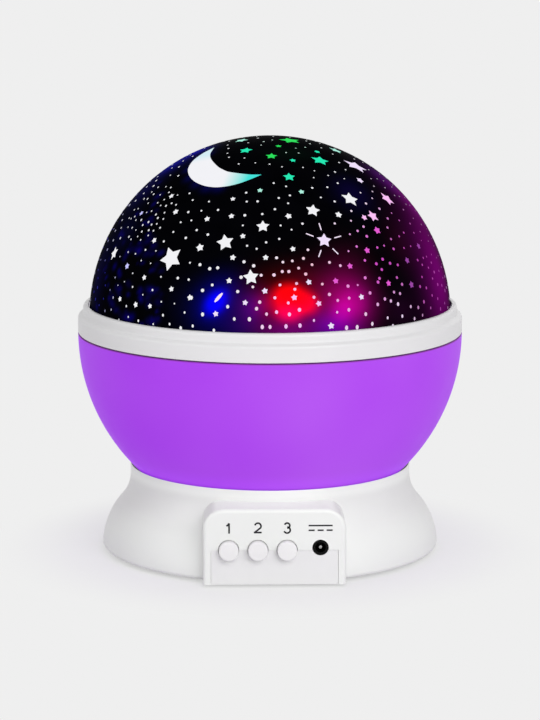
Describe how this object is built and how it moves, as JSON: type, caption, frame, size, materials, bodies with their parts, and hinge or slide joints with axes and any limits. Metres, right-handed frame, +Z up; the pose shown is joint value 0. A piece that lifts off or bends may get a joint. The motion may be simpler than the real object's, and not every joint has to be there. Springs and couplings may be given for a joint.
{
  "type": "star night light projector",
  "caption": "Table-top star projector lamp: a printed star dome on a round bowl that turns on a flared battery base with push buttons and a power socket.",
  "frame": {"origin": "on the floor under the middle of the ball, at the bottom centre of the whole lamp", "axes": "+Z up along the ball's turning axis, control panel facing -Y, +X to the viewer's right"},
  "size_m": [0.134, 0.134, 0.145],
  "materials": {
    "white_shell": "satin-gloss moulded ABS",
    "white_button": "fine matt moulded ABS",
    "purple_bowl": "satin, slightly translucent",
    "star_print_dome": "glossy clear shell printed black, with clear stars and a moon",
    "rubber_foot": "matt",
    "screw_steel": "zinc plated",
    "contact_metal": "nickel plated",
    "cell_wrap": "printed sleeve over a steel can",
    "circuit_board": "solder-masked glass fibre",
    "switch_body": "matt",
    "jack_body": "gloss",
    "jack_pin": "nickel plated",
    "nylon": "natural nylon",
    "motor_case": "zinc plated",
    "shaft_steel": "ground",
    "lead_red": "satin PVC",
    "lead_black": "satin PVC",
    "lead_white": "satin PVC",
    "led_clear": "clear epoxy",
    "led_red_lens": "tinted epoxy",
    "led_green_lens": "tinted epoxy",
    "led_blue_lens": "tinted epoxy"
  },
  "bodies": {
    "base": {"base_housing": "white_shell", "bottom_cover": "white_shell", "rubber_feet": "rubber_foot", "cover_screws": "screw_steel", "aaa_cells": "cell_wrap", "battery_contacts": "contact_metal", "battery_springs": "contact_metal", "control_board": "circuit_board", "tact_switches": "switch_body", "dc_jack": "jack_body", "dc_jack_pin": "jack_pin", "thrust_washer": "nylon", "drive_motor": "motor_case", "motor_screws": "screw_steel", "light_column": "white_shell", "column_screws": "screw_steel", "lamp_board": "circuit_board", "lamp_board_screws": "screw_steel", "led_white": "led_clear", "led_red": "led_red_lens", "led_green": "led_green_lens", "led_blue": "led_blue_lens", "lamp_lead": "lead_white", "motor_lead": "lead_black", "battery_lead": "lead_red"},
    "ball": {"bowl": "purple_bowl", "turntable_gear": "nylon", "turntable_screws": "screw_steel"},
    "shade": {"shade_ring": "white_shell", "star_dome": "star_print_dome"},
    "drive": {"motor_shaft": "shaft_steel", "drive_pinion": "nylon"},
    "push_1": {"button_1": "white_button", "switch_plunger_1": "switch_body"},
    "push_2": {"button_2": "white_button", "switch_plunger_2": "switch_body"},
    "push_3": {"button_3": "white_button", "switch_plunger_3": "switch_body"},
    "door": {"battery_door": "white_shell", "door_screw": "screw_steel"}
  },
  "joints": [
    {"name": "ball_spin", "type": "hinge", "parent": "base", "child": "ball", "pos_m": [0, 0, 0.025], "axis": [0, 0, 1], "continuous": true},
    {"name": "pinion_spin", "type": "hinge", "parent": "base", "child": "drive", "pos_m": [0, 0.03, 0.0225], "axis": [0, 0, 1], "continuous": true},
    {"name": "shade_lift", "type": "slide", "parent": "ball", "child": "shade", "axis": [0, 0, 1], "range_m": [0, 0.07]},
    {"name": "button_1_press", "type": "slide", "parent": "base", "child": "push_1", "axis": [0, 1, 0], "range_m": [0, 0.001], "stiffness_N_per_m": 600, "springref_m": -0.0004},
    {"name": "button_2_press", "type": "slide", "parent": "base", "child": "push_2", "axis": [0, 1, 0], "range_m": [0, 0.001], "stiffness_N_per_m": 600, "springref_m": -0.0004},
    {"name": "button_3_press", "type": "slide", "parent": "base", "child": "push_3", "axis": [0, 1, 0], "range_m": [0, 0.001], "stiffness_N_per_m": 600, "springref_m": -0.0004},
    {"name": "door_drop", "type": "slide", "parent": "base", "child": "door", "axis": [0, 0, -1], "range_m": [0, 0.02]}
  ],
  "couplings": [
    {"joint": "pinion_spin", "follows": "ball_spin", "ratio": 6}
  ]
}
